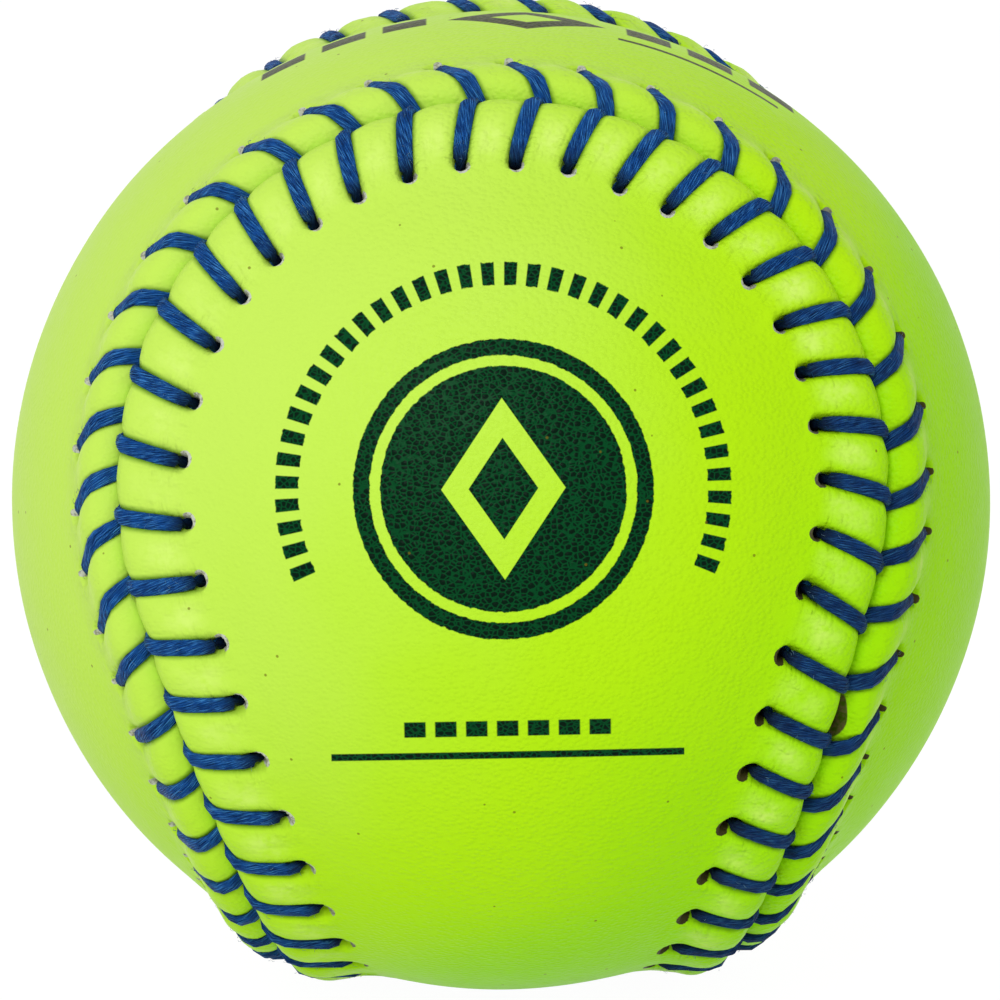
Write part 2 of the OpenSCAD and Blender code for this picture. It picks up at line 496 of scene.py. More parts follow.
def leg_ring(lacing, stitch, t):
    """A ring of the lace on a leg, at a share of the way from the hole to the gap."""
    hole = lacing.hole[stitch]
    s = between(hole + DIVES_AT, GAP_S, t)
    width, thickness, sink = lace_profile(t)
    point, out = section.at(s)
    lift = thickness + STRAND_R * 0.6 - groove_at(lacing, stitch, min(s, hole - 0.3)) - sink
    along_seam = lacing.stitch(stitch, s)
    middle = seam_place(along_seam, lacing.side, (point[0] + out[0] * lift, point[1] + out[1] * lift))
    outwards = seam_place(along_seam, lacing.side, (point[0] + out[0], point[1] + out[1]))
    base = seam_place(along_seam, lacing.side, point)
    return middle, (outwards - base).normalized(), width, thickness


def lace_route(first_side):
    """Rings of the lace: the place of the middle, the direction out of the leather and the half sizes."""
    names = {-1: "front", 1: "side"}
    rings = []
    for stitch in range(STITCHES):
        side = first_side if stitch % 2 == 0 else -first_side
        lacing = LACINGS[names[side]]
        for i in range(LEG_RINGS):
            rings.append(leg_ring(lacing, stitch, (i / (LEG_RINGS - 1)) ** RINGS_DRAWN))
        other = LACINGS[names[-side]]
        start = lacing.stitch(stitch, GAP_S)
        target = stitch + 1 + other.along[(stitch + 1) % STITCHES]
        for i in range(1, UNDER_RINGS + 1):
            t = i / (UNDER_RINGS + 1)
            across = between(0, HOLE_FROM_SEAM + PIT_SHIFT, t)
            direction = seam_direction(between(start, target, t), -side * across / BALL_R)
            rings.append((direction * UNDER_R, direction, LACE_HALF_W * UNDER_NARROWING, LACE_HALF_T))
    return rings


def strand_curve(name):
    """An empty curve that gives its lines the section of a strand."""
    curve = bpy.data.curves.new(name, "CURVE")
    curve.dimensions = "3D"
    curve.bevel_depth = STRAND_R * MM
    curve.bevel_resolution = 0
    curve.use_fill_caps = True
    return curve


def lay_strands(curve, rings, first_side):
    """Lays the strands along the rings, twisted about the lace's middle."""
    places = [ring[0] for ring in rings]
    strands = [curve.splines.new("POLY") for _ in range(STRANDS)]
    for strand in strands:
        strand.points.add(len(rings) - 1)
        strand.use_smooth = True
    for i, (middle, out, width, thickness) in enumerate(rings):
        ahead = (places[min(i + 1, len(rings) - 1)] - places[max(i - 1, 0)]).normalized()
        up = (out - ahead * out.dot(ahead)).normalized()
        across = ahead.cross(up)
        twist = TWIST_PER_STITCH * i / RINGS_PER_STITCH
        for j, strand in enumerate(strands):
            angle = math.tau * j / STRANDS + twist
            wobble = STRAND_WOBBLE * noise.noise(Vector((i * 0.37, j * 3.1, first_side * 5)))
            place = middle + across * (width * math.cos(angle) + wobble) + up * thickness * math.sin(angle)
            strand.points[i].co = (*(place * MM), 1)
            strand.points[i].radius = 1 + STRAND_SWELL * noise.noise(Vector((i * 0.21, j * 7.7, 3)))


def mesh_of_curve(name, curve):
    """Turns a curve into a mesh and clears the curve away."""
    obj = bpy.data.objects.new(name + "_curve", curve)
    bpy.context.scene.collection.objects.link(obj)
    bpy.context.view_layer.update()
    mesh = bpy.data.meshes.new_from_object(obj.evaluated_get(bpy.context.evaluated_depsgraph_get()))
    mesh.name = name
    bpy.data.objects.remove(obj)
    bpy.data.curves.remove(curve)
    return mesh


def lace(name, node, first_side, material, seed):
    """One of the two threads: a bundle of twisted strands along its whole route, with stray fibres."""
    chance = random.Random(seed)
    curve = strand_curve(name)
    rings = lace_route(first_side)
    lay_strands(curve, rings, first_side)
    for _ in range(STRAYS):
        stray_fibre(curve, rings, chance)
    mesh = mesh_of_curve(name, curve)
    tell_strands_apart(mesh, len(rings))
    close_ends(mesh)
    return placed(name, mesh, material, [node])


def stray_fibre(curve, rings, chance):
    """A hair that has worked loose from a leg."""
    stitch = chance.randrange(STITCHES)
    ring = chance.randrange(1, LEG_RINGS - 2)
    middle, out, width, thickness = rings[stitch * RINGS_PER_STITCH + ring]
    sideways = out.cross(Vector((chance.gauss(0, 1), chance.gauss(0, 1), chance.gauss(0, 1)))).normalized()
    length = chance.uniform(0.1, 0.5)
    bend = out.cross(sideways) * chance.uniform(-0.4, 0.4)
    fibre = curve.splines.new("POLY")
    fibre.points.add(STRAY_POINTS - 1)
    for i, point in enumerate(fibre.points):
        t = i / (STRAY_POINTS - 1)
        height = thickness + 0.08 + 0.2 * math.sin(math.pi * 0.8 * t)
        place = middle + out * height + sideways * (width * 0.6 + length * t) + bend * t * t
        point.co = (*(place * MM), 1)
        point.radius = STRAY_THINNESS


def tell_strands_apart(mesh, rings):
    """Shifts the strands' maps, so that each strand has fibres of its own and the stray ones lie apart."""
    corners_round = 4
    in_end_caps = 2 * corners_round * (STRANDS + STRAYS)
    for loop, corner in zip(mesh.loops, mesh.uv_layers[0].data):
        strand = (loop.vertex_index - in_end_caps) // (corners_round * rings)
        corner.uv.y += STRAND_SHIFT * strand
        if strand >= STRANDS:
            corner.uv.x += STRAY_SHIFT


def close_ends(mesh):
    """Joins the caps at the strands' ends to the strands."""
    bm = bmesh.new()
    bm.from_mesh(mesh)
    bmesh.ops.remove_doubles(bm, verts=bm.verts, dist=1e-7)
    bm.to_mesh(mesh)
    bm.free()


def link(tree, socket, value):
    """Sets a socket to a value, or links it to another socket."""
    if isinstance(value, bpy.types.NodeSocket):
        tree.links.new(value, socket)
    else:
        socket.default_value = value


def calc(tree, operation, *values):
    step = tree.nodes.new("ShaderNodeMath")
    step.operation = operation
    for socket, value in zip(step.inputs, values):
        link(tree, socket, value)
    return step.outputs[0]


def plus(tree, a, b):
    return calc(tree, "ADD", a, b)


def minus(tree, a, b):
    return calc(tree, "SUBTRACT", a, b)


def times(tree, a, b):
    return calc(tree, "MULTIPLY", a, b)


def divided(tree, a, b):
    return calc(tree, "DIVIDE", a, b)


def larger(tree, a, b):
    return calc(tree, "MAXIMUM", a, b)


def size_of(tree, a):
    return calc(tree, "ABSOLUTE", a)


def fraction(tree, a):
    return calc(tree, "FRACT", a)


def length_of(tree, x, y):
    return calc(tree, "SQRT", plus(tree, times(tree, x, x), times(tree, y, y)))


def along(tree, vector, direction):
    """How far a place lies along a direction."""
    step = tree.nodes.new("ShaderNodeVectorMath")
    step.operation = "DOT_PRODUCT"
    link(tree, step.inputs[0], vector)
    link(tree, step.inputs[1], direction)
    return step.outputs["Value"]


def scaled(tree, vector, scale):
    step = tree.nodes.new("ShaderNodeVectorMath")
    step.operation = "MULTIPLY"
    link(tree, step.inputs[0], vector)
    link(tree, step.inputs[1], scale)
    return step.outputs[0]


def step_up(tree, value, low, high):
    """0 below low, 1 above high."""
    step = tree.nodes.new("ShaderNodeMapRange")
    step.interpolation_type = "SMOOTHSTEP"
    link(tree, step.inputs["Value"], value)
    step.inputs["From Min"].default_value = low
    step.inputs["From Max"].default_value = high
    return step.outputs[0]


def inverse(tree, value):
    return minus(tree, 1.0, value)


def within(tree, value, low, high, soft):
    """1 between low and high, with soft edges."""
    rising = step_up(tree, value, low - soft, low + soft)
    falling = inverse(tree, step_up(tree, value, high - soft, high + soft))
    return times(tree, rising, falling)


def speckle(tree, place, size, detail=2.0, roughness=0.5):
    """Soft clouds of one size, from 0 to 1."""
    step = tree.nodes.new("ShaderNodeTexNoise")
    link(tree, step.inputs["Vector"], place)
    step.inputs["Scale"].default_value = 1 / size
    step.inputs["Detail"].default_value = detail
    step.inputs["Roughness"].default_value = roughness
    return step.outputs[0]


def cells(tree, place, size, feature="F1"):
    """Distance from the middle of the nearest cell, or from its edge."""
    step = tree.nodes.new("ShaderNodeTexVoronoi")
    step.feature = feature
    link(tree, step.inputs["Vector"], place)
    step.inputs["Scale"].default_value = 1 / size
    return step.outputs["Distance"]


def blend(tree, share, under, over):
    """Mixes two colours, which a Mix node takes at its sockets 6 and 7."""
    step = tree.nodes.new("ShaderNodeMix")
    step.data_type = "RGBA"
    link(tree, step.inputs[0], share)
    link(tree, step.inputs[6], under)
    link(tree, step.inputs[7], over)
    return step.outputs[2]


def raised(tree, height, depth, under=None):
    """Relief of a depth in millimetres, on top of the relief under it."""
    step = tree.nodes.new("ShaderNodeBump")
    link(tree, step.inputs["Height"], height)
    step.inputs["Distance"].default_value = depth * MM
    if under is not None:
        link(tree, step.inputs["Normal"], under)
    return step.outputs[0]


def new_material(name, roughness, specular=0.5):
    material = bpy.data.materials.new(name)
    material.use_nodes = True
    tree = material.node_tree
    shader = next(n for n in tree.nodes if n.type == "BSDF_PRINCIPLED")
    shader.inputs["Roughness"].default_value = roughness
    shader.inputs["Specular IOR Level"].default_value = specular
    return material, tree, shader


def object_place(tree):
    """Place on the ball, in millimetres."""
    return scaled(tree, tree.nodes.new("ShaderNodeTexCoord").outputs["Object"], (1 / MM,) * 3)


def colour(red, green, blue):
    """A colour given as it looks on a screen, from 0 to 255."""
    def linear(value):
        share = value / 255
        return share / 12.92 if share <= 0.04045 else ((share + 0.055) / 1.055) ** 2.4
    return (linear(red), linear(green), linear(blue), 1.0)


LIME = colour(184, 238, 16)
# A paler, yellower lime towards the lamps is painted light, and a greener one away from them is painted shade
LIME_PAINTED_LIGHT = colour(199, 238, 92)
LIME_PAINTED_SHADE = colour(165, 233, 5)
# Pale patches on the pillows are painted sheen
LIME_PAINTED_SHEEN = colour(216, 248, 120)
# Darker green in the creases beside the legs is painted shade
CREASE_PAINTED_SHADE = colour(84, 136, 14)
# The dark of the crevice between the rolls is painted shade
CREVICE_PAINTED_SHADE = colour(62, 86, 8)
RAW_EDGE = colour(150, 150, 128)
TORN = colour(200, 204, 190)
# Brown torn rims away from the lamps are painted shade
TORN_PAINTED_SHADE = colour(66, 62, 30)
OPEN_EDGE = colour(92, 86, 48)
SPECK_BROWN = colour(110, 96, 20)
# The dark inside each hole is painted shade
HOLE_PAINTED_SHADE = colour(40, 40, 14)
GREEN_INK = (colour(0, 26, 12), colour(0, 74, 34))
GREY_INK = (colour(44, 48, 26), colour(74, 84, 30))

THREAD_SHADE = colour(8, 62, 128)
THREAD_BLUE = colour(16, 84, 162)
THREAD_LIGHT = colour(76, 152, 224)
# Darker thread away from the lamps is painted shade
THREAD_DARK = colour(2, 26, 58)
# Thread colour towards each leg's end at its hole
THREAD_PAINTED_SHADE = colour(10, 32, 62)
THREAD_NEAR_HOLE = colour(6, 12, 18)
STRAY_BLUE = colour(30, 100, 170)
STRAY_BLEACHED = colour(150, 190, 220)

FOAM_PALE = colour(236, 226, 190)
FOAM_FLOW = colour(214, 196, 148)
FOAM_PORE = colour(150, 130, 90)
CEMENT_PALE = colour(240, 236, 216)
CEMENT_STREAK = colour(206, 196, 160)

# Sizes of the leather's grain and depths of its relief
GRAIN_SIZE = 0.5
LINE_DEPTH = 0.16
CREASE_DEPTH = 0.42
PEBBLE_DEPTH = 0.06
FINE_DEPTH = 0.012

# How many fibres lie along a thread, wind about a strand in its whole length, and lie round it
FIBRES_ALONG = 700.0
FIBRES_WOUND = 1600.0
FIBRES_ROUND = 7.0


def seam_fields(tree):
    """Distance along the seam from the nearest leg, and distance across from the row of holes."""
    seam_map = tree.nodes.new("ShaderNodeUVMap")
    seam_map.uv_map = "seam_map"
    parts = tree.nodes.new("ShaderNodeSeparateXYZ")
    tree.links.new(seam_map.outputs[0], parts.inputs[0])
    shifted = fraction(tree, plus(tree, parts.outputs[0], 0.5))
    away = times(tree, minus(tree, shifted, 0.5), PITCH)
    return seam_map.outputs[0], away, parts.outputs[1]


def lamp_side_lean(tree, place):
    """How far a place lies up and to the left, towards the lamps, which sets where light and shade are
    painted.
    """
    return along(tree, place, (-0.8 / BALL_R, -0.19 / BALL_R, 0.57 / BALL_R))


def lime_with_painted_light(tree, place):
    """Lime dye, painted paler and yellower towards the lamps as painted light and sheen, and greener away
    from them as painted shade, with faint clouds.
    """
    cloud = times(tree, minus(tree, speckle(tree, place, 17.0, 3.0), 0.5), 0.4)
    leaning = plus(tree, lamp_side_lean(tree, place), cloud)
    tone = blend(tree, step_up(tree, leaning, -0.5, 0.05), LIME_PAINTED_SHADE, LIME)
    return blend(tree, step_up(tree, leaning, -0.05, 0.9), tone, LIME_PAINTED_LIGHT)


def grain_place(tree, place):
    """Place on the grain, whose pebbles are a little flatter than they are wide."""
    return scaled(tree, place, (1.0, 1.0, 1.25))


def mottle(tree, place):
    """Uneven patches of raw leather."""
    return step_up(tree, speckle(tree, place, 0.4, 3.0), 0.35, 0.6)


def printed(tree, place, tone, print_mask, ink):
    """Ink that is darker along the grain's lines."""
    inked_cell, inked_line = ink
    to_line = cells(tree, grain_place(tree, place), GRAIN_SIZE, "DISTANCE_TO_EDGE")
    on_line = inverse(tree, step_up(tree, to_line, 0.03, 0.2))
    ink_tone = blend(tree, times(tree, on_line, 0.85), inked_cell, inked_line)
    return blend(tree, print_mask(tree, place), tone, ink_tone)


def painted_sheen_and_crease_shade(tree, place, tone, from_leg, out_from_hole):
    """The pillows get pale patches of painted sheen, and the creases beside the legs get painted shade."""
    on_pillow = within(tree, out_from_hole, -3.4, -0.4, 1.6)
    sheen_reach = times(tree, step_up(tree, from_leg, 0.9, 2.3), on_pillow)
    # Pale patches on the pillows' tops are painted sheen
    painted_sheen = times(tree, sheen_reach, step_up(tree, speckle(tree, place, 4.0, 3.0), 0.2, 0.8))
    painted_sheen = times(tree, painted_sheen, step_up(tree, speckle(tree, place, 0.7, 3.0), 0.1, 0.6))
    tone = blend(tree, times(tree, painted_sheen, 0.9), tone, LIME_PAINTED_SHEEN)
    on_roll = within(tree, out_from_hole, -section.hole + 2.0, -0.2, 1.0)
    # The creases beside the legs are painted darker as shade
    beside_leg = times(tree, inverse(tree, step_up(tree, from_leg, 0.62, 1.2)), on_roll)
    return blend(tree, times(tree, beside_leg, 0.85), tone, CREASE_PAINTED_SHADE)


def shaded_gap_and_raw_edge(tree, place, tone, out_from_hole):
    """The crevice between the rolls is painted dark as shade, and the leather's raw edge shows at its bottom.
    """
    gap_shade = inverse(tree, step_up(tree, out_from_hole, -section.hole + 1.2, -section.hole + 2.9))
    tone = blend(tree, times(tree, gap_shade, 0.85), tone, CREVICE_PAINTED_SHADE)
    cut_edge = inverse(tree, step_up(tree, out_from_hole, -section.hole + 0.5, -section.hole + 1.1))
    return blend(tree, times(tree, cut_edge, mottle(tree, place)), tone, RAW_EDGE)


def bare_stretch(tree, place, tone, seam_map, out_from_hole):
    """Raw leather that shows where the seam has opened, mottled with the crevice's painted shade."""
    stitches = minus(tree, along(tree, seam_map, (1, 0, 0)), OPEN_MIDDLE_LEG)
    from_roll = minus(tree, out_from_hole, OPEN_BARE_AT)
    from_middle = length_of(
        tree,
        divided(tree, stitches, OPEN_HALF_LEGS),
        divided(tree, from_roll, OPEN_BARE_HALF_W),
    )
    bare = inverse(tree, step_up(tree, from_middle, 0.85, 1.0))
    bare_tone = blend(tree, mottle(tree, place), CREVICE_PAINTED_SHADE, OPEN_EDGE)
    return blend(tree, bare, tone, bare_tone)


def specked(tree, place, tone):
    """A few small brown specks."""
    specks = inverse(tree, step_up(tree, cells(tree, place, 3.4), 0.03, 0.05))
    return blend(tree, times(tree, specks, 0.7), tone, SPECK_BROWN)


def torn_holes(tree, place, tone, away, out_from_hole, hole_narrowing, rim_narrowing, rim_shift):
    """Each hole is painted dark as its shade, in a torn rim that is pale towards the lamps and painted brown
    as shade away from them.
    """
    ragged = times(tree, minus(tree, speckle(tree, place, 0.2, 2.0), 0.5), 0.16)
    beside_rim = times(tree, minus(tree, away, rim_shift), rim_narrowing)
    from_rim = length_of(tree, beside_rim, minus(tree, out_from_hole, PIT_SHIFT + 0.3))
    torn = inverse(tree, step_up(tree, plus(tree, from_rim, ragged), PIT_R * 1.15, PIT_R * 1.25))
    torn_tone = blend(tree, step_up(tree, speckle(tree, place, 0.3, 2.0), 0.36, 0.55), RAW_EDGE, TORN)
    # Rims away from the lamps are painted brown as shade
    darkened = inverse(tree, step_up(tree, lamp_side_lean(tree, place), -0.35, 0.3))
    torn_tone = blend(tree, darkened, torn_tone, TORN_PAINTED_SHADE)
    tone = blend(tree, torn, tone, torn_tone)
    past_pit = minus(tree, out_from_hole, PIT_SHIFT - 0.2)
    past_pit = larger(tree, past_pit, times(tree, past_pit, -PIT_INWARDS))
    from_pit = length_of(tree, times(tree, away, hole_narrowing), past_pit)
    dark = inverse(tree, step_up(tree, plus(tree, from_pit, ragged), PIT_R * 0.7, PIT_R * 0.9))
    return blend(tree, dark, tone, HOLE_PAINTED_SHADE)


def leather_relief(tree, place, seam_map, from_leg, out_from_hole):
    """Lines along the rolls, creases at the stitches, and grain that is smoothed towards the left."""
    lines = speckle(tree, scaled(tree, seam_map, (PITCH / 0.9, 1 / 3.5, 1.0)), 1.0, 2.0)
    near_seam = within(tree, out_from_hole, -6.0, 2.0, 1.5)
    streaks = speckle(tree, scaled(tree, seam_map, (PITCH / 2.8, 1 / 0.75, 1.0)), 1.0, 2.0)
    beside_hole = within(tree, out_from_hole, -2.4, 1.0, 1.4)
    at_stitch = times(tree, inverse(tree, step_up(tree, from_leg, 1.2, 2.8)), beside_hole)
    pebbles = inverse(tree, step_up(tree, cells(tree, grain_place(tree, place), GRAIN_SIZE), 0.05, 0.75))
    leftwards = along(tree, place, (-1 / BALL_R, 0, 0))
    smoothed = times(tree, step_up(tree, leftwards, 0.0, 0.5), 0.5)
    pebbles = times(tree, pebbles, inverse(tree, smoothed))
    fine = speckle(tree, place, 0.2, 3.0, 0.6)
    normal = raised(tree, times(tree, lines, near_seam), LINE_DEPTH)
    normal = raised(tree, times(tree, streaks, at_stitch), CREASE_DEPTH, normal)
    normal = raised(tree, pebbles, PEBBLE_DEPTH, normal)
    return raised(tree, fine, FINE_DEPTH, normal)


def leather(name, print_mask, ink, hole_narrowing, rim_narrowing, rim_shift, opened=False):
    """Fine-grained dyed leather, with creases at the stitches, a raw edge, pierced holes and a print."""
    material, tree, shader = new_material(name, 0.42, 0.05)
    place = object_place(tree)
    seam_map, away, out_from_hole = seam_fields(tree)
    from_leg = size_of(tree, away)
    tone = lime_with_painted_light(tree, place)
    tone = printed(tree, place, tone, print_mask, ink)
    tone = painted_sheen_and_crease_shade(tree, place, tone, from_leg, out_from_hole)
    tone = shaded_gap_and_raw_edge(tree, place, tone, out_from_hole)
    if opened:
        tone = bare_stretch(tree, place, tone, seam_map, out_from_hole)
    tone = specked(tree, place, tone)
    tone = torn_holes(tree, place, tone, away, out_from_hole, hole_narrowing, rim_narrowing, rim_shift)
    link(tree, shader.inputs["Base Color"], tone)
    link(tree, shader.inputs["Normal"], leather_relief(tree, place, seam_map, from_leg, out_from_hole))
    satin = plus(tree, times(tree, speckle(tree, place, 2.2, 4.0), 0.16), 0.32)
    link(tree, shader.inputs["Roughness"], satin)
    return material


# The front print lies in a plane that leans back towards the front lobe's middle
INK_EDGE = 0.06
PRINT_TILT = math.radians(16.2)
BADGE_R = 12.6
BADGE_GROOVE = (10.3, 11.2)
DIAMOND_HALF_W = 5.2
DIAMOND_HALF_H = 7.6
BARS_ROUND = 60
BARS_REACH = (17.2, 19.2)
BARS_END = (math.radians(114), math.radians(114.5))
DASH_PITCH = 2.6
DASHES_SHIFT = 30.5 * DASH_PITCH
DASHES_Z = (-20.7, -19.4)
DASHES_END = (9.05, 9.15)
RULE_Z = (-22.6, -22.0)
RULE_END = (14.9, 15.0)


def diamond_size(tree, x, y, half_w, half_h):
    """1 on the outline of a diamond, less within."""
    return plus(tree, divided(tree, size_of(tree, x), half_w), divided(tree, size_of(tree, y), half_h))


def front_print(tree, place):
    """A round badge with a diamond, inside an arc of bars, over a row of dashes and a rule."""
    x = along(tree, place, (1, 0, 0))
    z = along(tree, place, (0, math.sin(PRINT_TILT), math.cos(PRINT_TILT)))
    forwards = along(tree, place, (0, -math.cos(PRINT_TILT), math.sin(PRINT_TILT)))
    facing = step_up(tree, forwards, 0.0, 1.0)
    sideways = size_of(tree, x)

    ragged = times(tree, minus(tree, speckle(tree, place, 0.5, 2.0), 0.5), 0.3)
    reach = plus(tree, length_of(tree, x, z), ragged)
    disc = inverse(tree, step_up(tree, reach, BADGE_R - INK_EDGE, BADGE_R + INK_EDGE))
    groove = within(tree, reach, *BADGE_GROOVE, INK_EDGE)
    diamond = within(tree, diamond_size(tree, x, z, DIAMOND_HALF_W, DIAMOND_HALF_H), 0.56, 1.0, INK_EDGE / 6)
    badge = times(tree, disc, inverse(tree, larger(tree, groove, diamond)))

    angle = calc(tree, "ARCTAN2", x, z)
    bar_wave = fraction(tree, times(tree, angle, BARS_ROUND / math.tau))
    bars = times(tree, within(tree, bar_wave, 0.22, 0.78, 0.03), within(tree, reach, *BARS_REACH, INK_EDGE))
    bars = times(tree, bars, inverse(tree, step_up(tree, size_of(tree, angle), *BARS_END)))

    dash_wave = fraction(tree, divided(tree, plus(tree, x, DASHES_SHIFT), DASH_PITCH))
    dashes = times(tree, within(tree, dash_wave, 0.15, 0.85, 0.03), within(tree, z, *DASHES_Z, INK_EDGE))
    dashes = times(tree, dashes, inverse(tree, step_up(tree, sideways, *DASHES_END)))
    rule = times(tree, within(tree, z, *RULE_Z, INK_EDGE), inverse(tree, step_up(tree, sideways, *RULE_END)))
    rows = larger(tree, dashes, rule)
    return times(tree, facing, larger(tree, badge, larger(tree, bars, rows)))


# The top print lies across the side panel's waist
TOP_MIDDLE_X = 3.0
BLOCK_PITCH = 5.4
BLOCKS_SHIFT = 15.5 * BLOCK_PITCH - TOP_MIDDLE_X
BLOCKS_Y = (0.5, 5.0)
BLOCKS_FROM_MIDDLE = (8.1, 24.3)
LOZENGE_Y = 1.6
LOZENGE_HALF_W = 7.0
LOZENGE_HALF_H = 4.6
TOP_RULE_X = (11.0, 25.0)
TOP_RULE_Y = (-2.4, -1.7)


def top_print(tree, place):
    """A row of blocks across the waist, with a lozenge in the middle and a thin rule in front."""
    x = along(tree, place, (1, 0, 0))
    y = along(tree, place, (0, 1, 0))
    above = step_up(tree, along(tree, place, (0, 0, 1)), 0.0, 1.0)
    from_middle = minus(tree, x, TOP_MIDDLE_X)
    block_wave = fraction(tree, divided(tree, plus(tree, x, BLOCKS_SHIFT), BLOCK_PITCH))
    blocks = times(tree, within(tree, block_wave, 0.14, 0.86, 0.02), within(tree, y, *BLOCKS_Y, INK_EDGE))
    beside_lozenge = within(tree, size_of(tree, from_middle), *BLOCKS_FROM_MIDDLE, INK_EDGE)
    blocks = times(tree, blocks, beside_lozenge)
    lozenge_size = diamond_size(tree, from_middle, minus(tree, y, LOZENGE_Y), LOZENGE_HALF_W, LOZENGE_HALF_H)
    lozenge = within(tree, lozenge_size, 0.45, 1.0, 0.012)
    rule = times(tree, within(tree, y, *TOP_RULE_Y, INK_EDGE), within(tree, x, *TOP_RULE_X, INK_EDGE))
    return times(tree, above, larger(tree, rule, larger(tree, blocks, lozenge)))


def waxed_thread(name):
    """Blue thread whose fibres wind along the strands, painted darker away from the lamps as shade, and
    darker where it goes into a hole.
    """
    material, tree, shader = new_material(name, 0.5, 0.1)
    place = object_place(tree)
    strand_map = tree.nodes.new("ShaderNodeUVMap").outputs[0]
    parts = tree.nodes.new("ShaderNodeCombineXYZ")
    link(tree, parts.inputs[0], along(tree, strand_map, (FIBRES_ALONG, 0.0, 0.0)))
    link(tree, parts.inputs[1], along(tree, strand_map, (FIBRES_WOUND, FIBRES_ROUND, 0.0)))
    fibres = speckle(tree, parts.outputs[0], 1.0, 3.0, 0.6)
    patches = speckle(tree, place, 1.1, 3.0)
    tone = blend(tree, step_up(tree, patches, 0.3, 0.7), THREAD_SHADE, THREAD_BLUE)
    light_fibres = step_up(tree, fibres, 0.5, 0.64)
    tone = blend(tree, times(tree, light_fibres, 0.8), tone, THREAD_LIGHT)
    dark_fibres = inverse(tree, step_up(tree, fibres, 0.34, 0.48))
    tone = blend(tree, times(tree, dark_fibres, 0.85), tone, THREAD_DARK)
    # The thread is painted darker away from the lamps as shade
    lamp_away_shade = inverse(tree, step_up(tree, lamp_side_lean(tree, place), -0.55, 0.5))
    tone = blend(tree, times(tree, lamp_away_shade, 0.6), tone, THREAD_PAINTED_SHADE)
    # Each leg is darker towards its end at the hole
    turns = along(tree, strand_map, (STITCHES - 1 / RINGS_PER_STITCH, 0.0, 0.0))
    darkened = inverse(tree, step_up(tree, fraction(tree, turns), 0.04, 0.24))
    tone = blend(tree, times(tree, darkened, 0.85), tone, THREAD_NEAR_HOLE)
    stray = step_up(tree, along(tree, strand_map, (1.0, 0.0, 0.0)), STRAY_SHIFT - 10, STRAY_SHIFT - 5)
    bleached = times(tree, stray, step_up(tree, speckle(tree, place, 3.0, 1.0), 0.5, 0.6))
    tone = blend(tree, stray, tone, STRAY_BLUE)
    tone = blend(tree, bleached, tone, STRAY_BLEACHED)
    link(tree, shader.inputs["Base Color"], tone)
    link(tree, shader.inputs["Normal"], raised(tree, fibres, 0.2))
    return material


def foam():
    """Moulded foam with a skin: pale, with fine pores and faint flow marks."""
    material, tree, shader = new_material("moulded_foam", 0.6, 0.3)
    place = object_place(tree)
    tone = blend(tree, speckle(tree, place, 7.0, 4.0), FOAM_PALE, FOAM_FLOW)
    pores = inverse(tree, step_up(tree, cells(tree, place, 0.7), 0.05, 0.2))
    tone = blend(tree, times(tree, pores, 0.5), tone, FOAM_PORE)
    link(tree, shader.inputs["Base Color"], tone)
    link(tree, shader.inputs["Normal"], raised(tree, inverse(tree, pores), 0.05))
    return material


def dried_cement():
    """Brushed cement, dried to a cloudy film with streaks."""
    material, tree, shader = new_material("dried_cement", 0.4, 0.5)
    place = object_place(tree)
    streaks = speckle(tree, scaled(tree, place, (1.0, 0.25, 1.0)), 1.3, 4.0, 0.6)
    link(tree, shader.inputs["Base Color"], blend(tree, streaks, CEMENT_PALE, CEMENT_STREAK))
    link(tree, shader.inputs["Normal"], raised(tree, streaks, 0.12))
    return material


def dress_hidden_layers():
    for node, material in (("core", foam()), ("cement_film", dried_cement())):
        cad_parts[node].data.materials.clear()
        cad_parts[node].data.materials.append(material)


def seen_directly(tree):
    """1 for what the camera, a reflection or a clear body shows, 0 for light that falls on the ball."""
    rays = tree.nodes.new("ShaderNodeLightPath").outputs
    reflected_or_clear = larger(tree, rays["Is Glossy Ray"], rays["Is Transmission Ray"])
    return larger(tree, rays["Is Camera Ray"], reflected_or_clear)


def pale_floor():
    """A wide floor under the ball, white to the camera, that keeps the ball's soft shadow."""
    floor_size = 4.0
    bm = bmesh.new()
    bmesh.ops.create_grid(bm, x_segments=1, y_segments=1, size=floor_size / 2)
    bmesh.ops.translate(bm, verts=bm.verts, vec=(0, 0, cad_box[0].z))
    mesh = bpy.data.meshes.new("floor")
    bm.to_mesh(mesh)
    bm.free()
    material, tree, shader = new_material("floor_white", 0.9, 0.1)
    shader.inputs["Base Color"].default_value = (0.93, 0.93, 0.93, 1)
    glow = tree.nodes.new("ShaderNodeEmission")
    glow.inputs["Strength"].default_value = 1.05
    mixed = tree.nodes.new("ShaderNodeMixShader")
    link(tree, mixed.inputs[0], times(tree, seen_directly(tree), 0.93))
    link(tree, mixed.inputs[1], shader.outputs[0])
    link(tree, mixed.inputs[2], glow.outputs[0])
    output = next(n for n in tree.nodes if n.type == "OUTPUT_MATERIAL")
    link(tree, output.inputs["Surface"], mixed.outputs[0])
    mesh.materials.append(material)
    floor = bpy.data.objects.new("floor", mesh)
    bpy.context.scene.collection.objects.link(floor)


def white_surroundings(strength):
    """Soft light from all round, which the camera and reflections see as white."""
    world = bpy.data.worlds.new("surroundings")
    bpy.context.scene.world = world
    world.use_nodes = True
    tree = world.node_tree
    background = next(n for n in tree.nodes if n.type == "BACKGROUND")
    background.inputs["Color"].default_value = (1, 1, 1, 1)
    level = plus(tree, times(tree, seen_directly(tree), 1 - strength), strength)
    link(tree, background.inputs["Strength"], level)


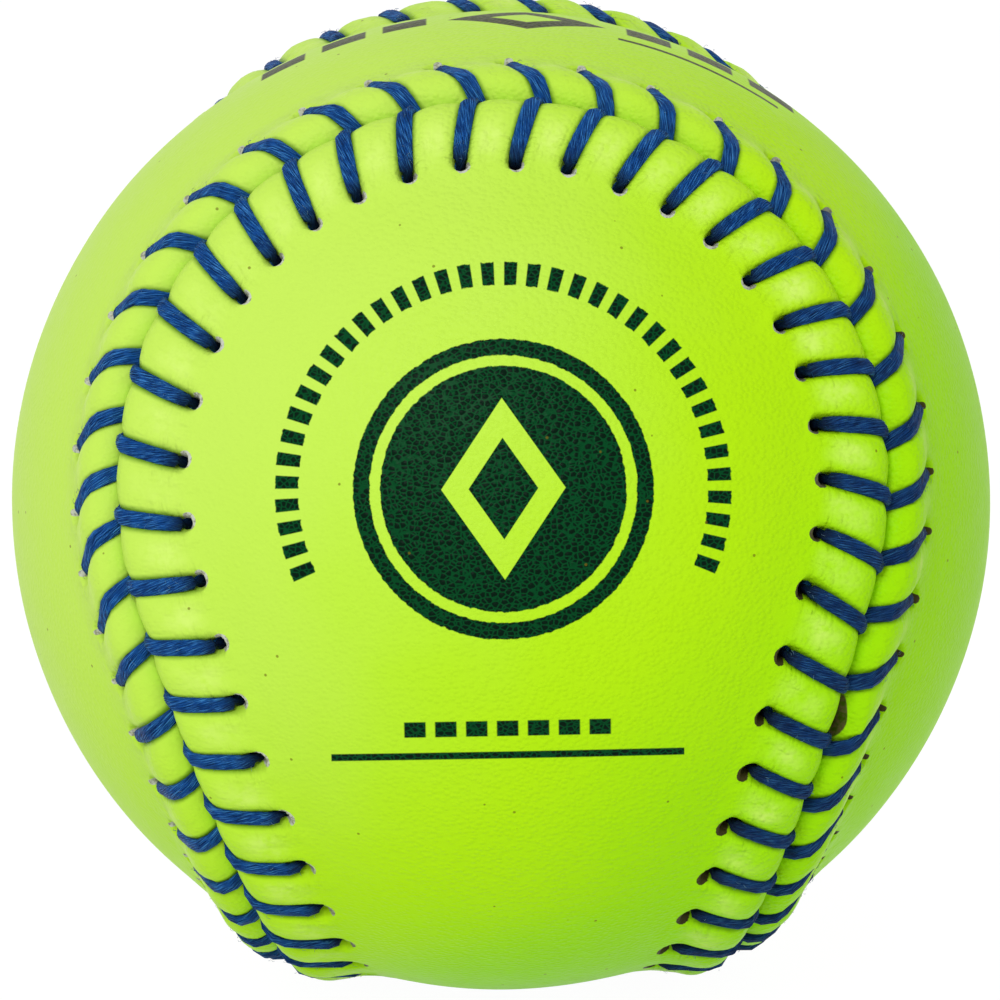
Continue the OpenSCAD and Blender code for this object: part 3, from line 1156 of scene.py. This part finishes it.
def soft_lamp(name, place, size, power):
    """A square soft box that points at the ball."""
    lamp = bpy.data.lights.new(name, "AREA")
    lamp.shape = "SQUARE"
    lamp.size = size
    lamp.energy = power
    obj = bpy.data.objects.new(name, lamp)
    obj.location = place
    obj.rotation_euler = Vector(place).to_track_quat("Z", "Y").to_euler()
    bpy.context.scene.collection.objects.link(obj)


CAMERA_AZIMUTH = math.radians(-0.3)
CAMERA_ELEVATION = math.radians(14.9)
CAMERA_ROLL = math.radians(-1.0)
CAMERA_DISTANCE = 14.1 * BALL_R * MM
FRAME_PX = 1000
BALL_RADIUS_PX = 489
BALL_MIDDLE_PX = (501, 500.5)


def photo_camera():
    """A long lens at the photograph's angle, framed on the ball."""
    out = Vector((
        math.sin(CAMERA_AZIMUTH) * math.cos(CAMERA_ELEVATION),
        -math.cos(CAMERA_AZIMUTH) * math.cos(CAMERA_ELEVATION),
        math.sin(CAMERA_ELEVATION),
    ))
    camera = bpy.data.cameras.new("photo_camera")
    radii = CAMERA_DISTANCE / (BALL_R * MM)
    focal_px = BALL_RADIUS_PX * math.sqrt(radii * radii - 1)
    camera.sensor_width = 36
    camera.lens = focal_px / FRAME_PX * camera.sensor_width
    camera.shift_x = (FRAME_PX / 2 - BALL_MIDDLE_PX[0]) / FRAME_PX
    camera.shift_y = (BALL_MIDDLE_PX[1] - FRAME_PX / 2) / FRAME_PX
    camera.clip_start = 0.01
    camera.clip_end = 10
    obj = bpy.data.objects.new("photo_camera", camera)
    bpy.context.scene.collection.objects.link(obj)
    turn = out.to_track_quat("Z", "Y").to_matrix() @ Matrix.Rotation(CAMERA_ROLL, 3, "Z")
    obj.matrix_world = Matrix.Translation(out * CAMERA_DISTANCE) @ turn.to_4x4()
    bpy.context.scene.camera = obj


def studio():
    """Camera, floor and soft light from the upper left."""
    photo_camera()
    pale_floor()
    white_surroundings(0.59)
    soft_lamp("key_light", place=(-0.22, -0.98, 0.72), size=0.36, power=5.8)
    soft_lamp("edge_light", place=(-0.91, 0.21, 0.57), size=0.36, power=0.6)


studio()
front_leather = leather(
    "front_leather", front_print, GREEN_INK,
    hole_narrowing=1.2, rim_narrowing=1.0, rim_shift=0.16,
)
side_leather = leather(
    "side_leather", top_print, GREY_INK,
    hole_narrowing=1.5, rim_narrowing=2.1, rim_shift=0.0, opened=True,
)
leather_panel("front", "front_panel", front_leather)
leather_panel("side", "side_panel", side_leather)
thread_finish = waxed_thread("waxed_thread")
lace("first_lace", "first_thread", -1, thread_finish, 21)
lace("second_lace", "second_thread", 1, thread_finish, 22)
dress_hidden_layers()

bpy.context.scene.view_settings.view_transform = "Standard"
